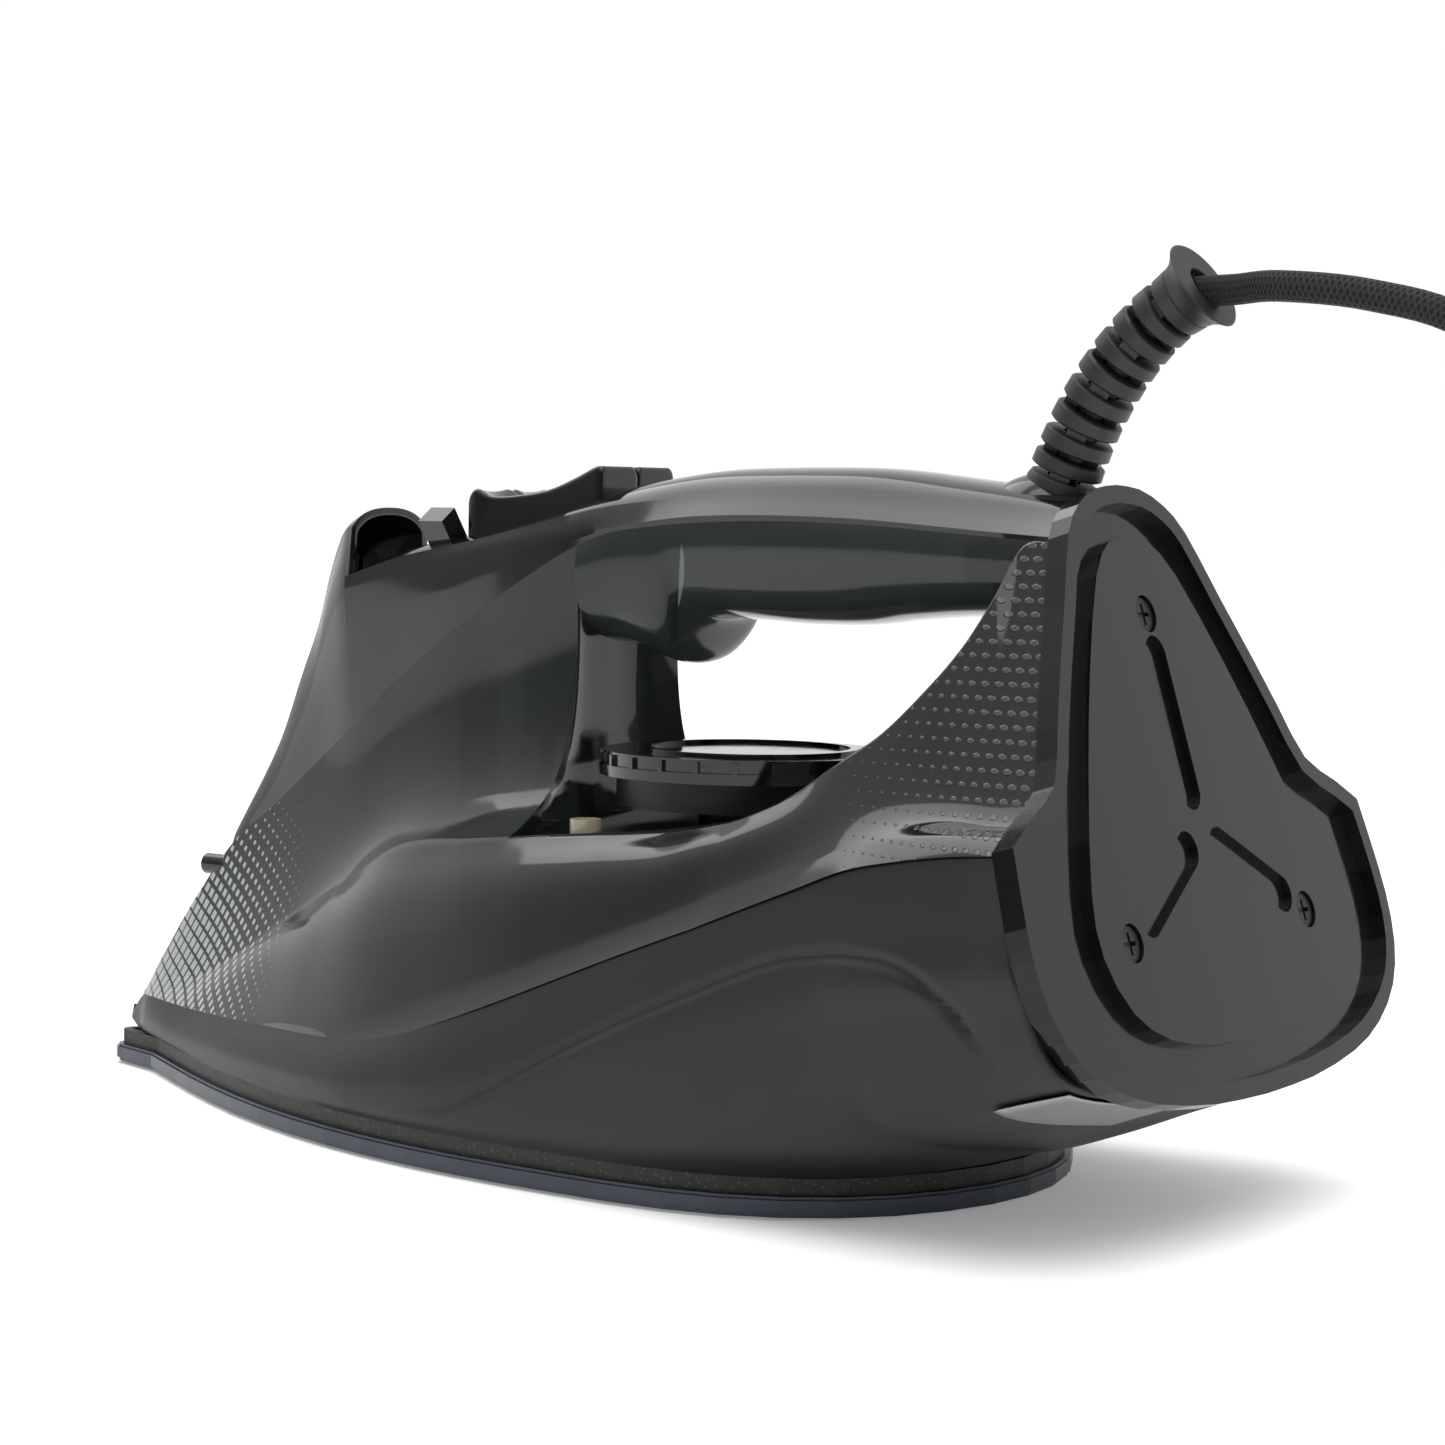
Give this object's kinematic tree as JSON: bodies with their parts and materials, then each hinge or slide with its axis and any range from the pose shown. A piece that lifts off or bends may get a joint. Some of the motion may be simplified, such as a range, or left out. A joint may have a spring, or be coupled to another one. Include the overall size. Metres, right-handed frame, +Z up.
{
  "type": "clothes iron",
  "caption": "Steam clothes iron with a smoky water tank, temperature dial, saddle-shaped buttons, steam lever, heel rest and a cord on a swivelling guard.",
  "frame": {"origin": "middle of the body's length and width, on the soleplate's face", "axes": "nose towards -X, heel towards +X, +Z up from the soleplate's face to the handle"},
  "size_m": [0.5069, 0.1434, 0.174],
  "materials": {
    "sole": "dark blue-grey satin ceramic coat",
    "skirt": "dark speckled moulding",
    "cast": "as cast",
    "steel": "plain",
    "seal": "silicone",
    "charcoal": "fine matt texture",
    "board": "pressed board",
    "foil": "blank silver label",
    "smoke": "clear smoky, polished",
    "gloss": "polished black",
    "brass": "plain",
    "white": "natural moulding",
    "hose": "milky silicone",
    "wire": "silicone sleeve",
    "lamp": "warm lens",
    "rubber": "soft satin",
    "braid": "woven textile sleeve"
  },
  "bodies": {
    "body": {"soleplate": "sole", "skirt": "skirt", "steam_casting": "cast", "heating_element": "steel", "chamber_seal": "seal", "chamber_cover": "cast", "lower_housing": "charcoal", "chassis_plate": "board", "rating_label": "foil", "water_tank": "smoke", "tank_base": "smoke", "tank_baffles": "smoke", "column_shell": "smoke", "rear_shell": "smoke", "grip_shell": "smoke", "handle_cover": "gloss", "filler_neck": "smoke", "filler_seal": "seal", "filler_pin": "steel", "spray_nozzle": "gloss", "lever_pin": "steel", "valve_tube": "smoke", "valve_seat": "brass", "valve_spring": "steel", "button_springs": "steel", "pumps": "white", "pump_hoses": "hose", "dial_plinth": "charcoal", "thermostat": "white", "thermal_fuse": "white", "pilot_lamp": "lamp", "terminal_block": "white", "wires": "wire", "heel_frame": "gloss", "heel_plate": "gloss", "heel_screws": "steel", "ball_seat": "charcoal", "inner_lead": "wire", "cord_clamp": "white"},
    "lever": {"steam_lever": "gloss"},
    "valve": {"valve_rod": "steel"},
    "spray_key": {"spray_button": "gloss", "spray_piston": "white"},
    "steam_key": {"steam_button": "gloss", "steam_piston": "white"},
    "temperature": {"dial": "gloss", "dial_shaft": "steel"},
    "door": {"filler_door": "gloss"},
    "swivel": {"cord_ball": "gloss", "cord_guard": "rubber", "cord": "braid", "cord_coil": "braid", "coil_tie": "rubber", "plug_body": "rubber", "plug_pins": "brass"}
  },
  "joints": [
    {"name": "lever_turn", "type": "hinge", "parent": "body", "child": "lever", "pos_m": [-0.0385, 0, 0.10386], "axis": [-1, 0, 0], "range_deg": [0, 70]},
    {"name": "valve_slide", "type": "slide", "parent": "body", "child": "valve", "axis": [0, 0, 1], "range_m": [-0.00207, 0], "deforming": ["valve_spring"]},
    {"name": "spray_press", "type": "slide", "parent": "body", "child": "spray_key", "axis": [0, 0, -1], "range_m": [0, 0.0035], "stiffness_N_per_m": 900, "springref_m": -0.0012, "deforming": ["button_springs"]},
    {"name": "steam_press", "type": "slide", "parent": "body", "child": "steam_key", "axis": [0, 0, -1], "range_m": [0, 0.0035], "stiffness_N_per_m": 900, "springref_m": -0.0012, "deforming": ["button_springs"]},
    {"name": "dial_turn", "type": "hinge", "parent": "body", "child": "temperature", "pos_m": [0.0304, 0, 0.0662], "axis": [0, 0, 1], "range_deg": [0, 290]},
    {"name": "door_open", "type": "hinge", "parent": "body", "child": "door", "pos_m": [-0.0455, 0, 0.11544], "axis": [0, 1, 0], "range_deg": [0, 75]},
    {"name": "cord_turn", "type": "hinge", "parent": "body", "child": "swivel", "pos_m": [0.09486, 0, 0.1208], "axis": [0, 0, 1], "range_deg": [-25, 25]}
  ],
  "couplings": [
    {"joint": "lever_turn", "follows": "valve_slide", "rad_per_m": -588.2}
  ]
}
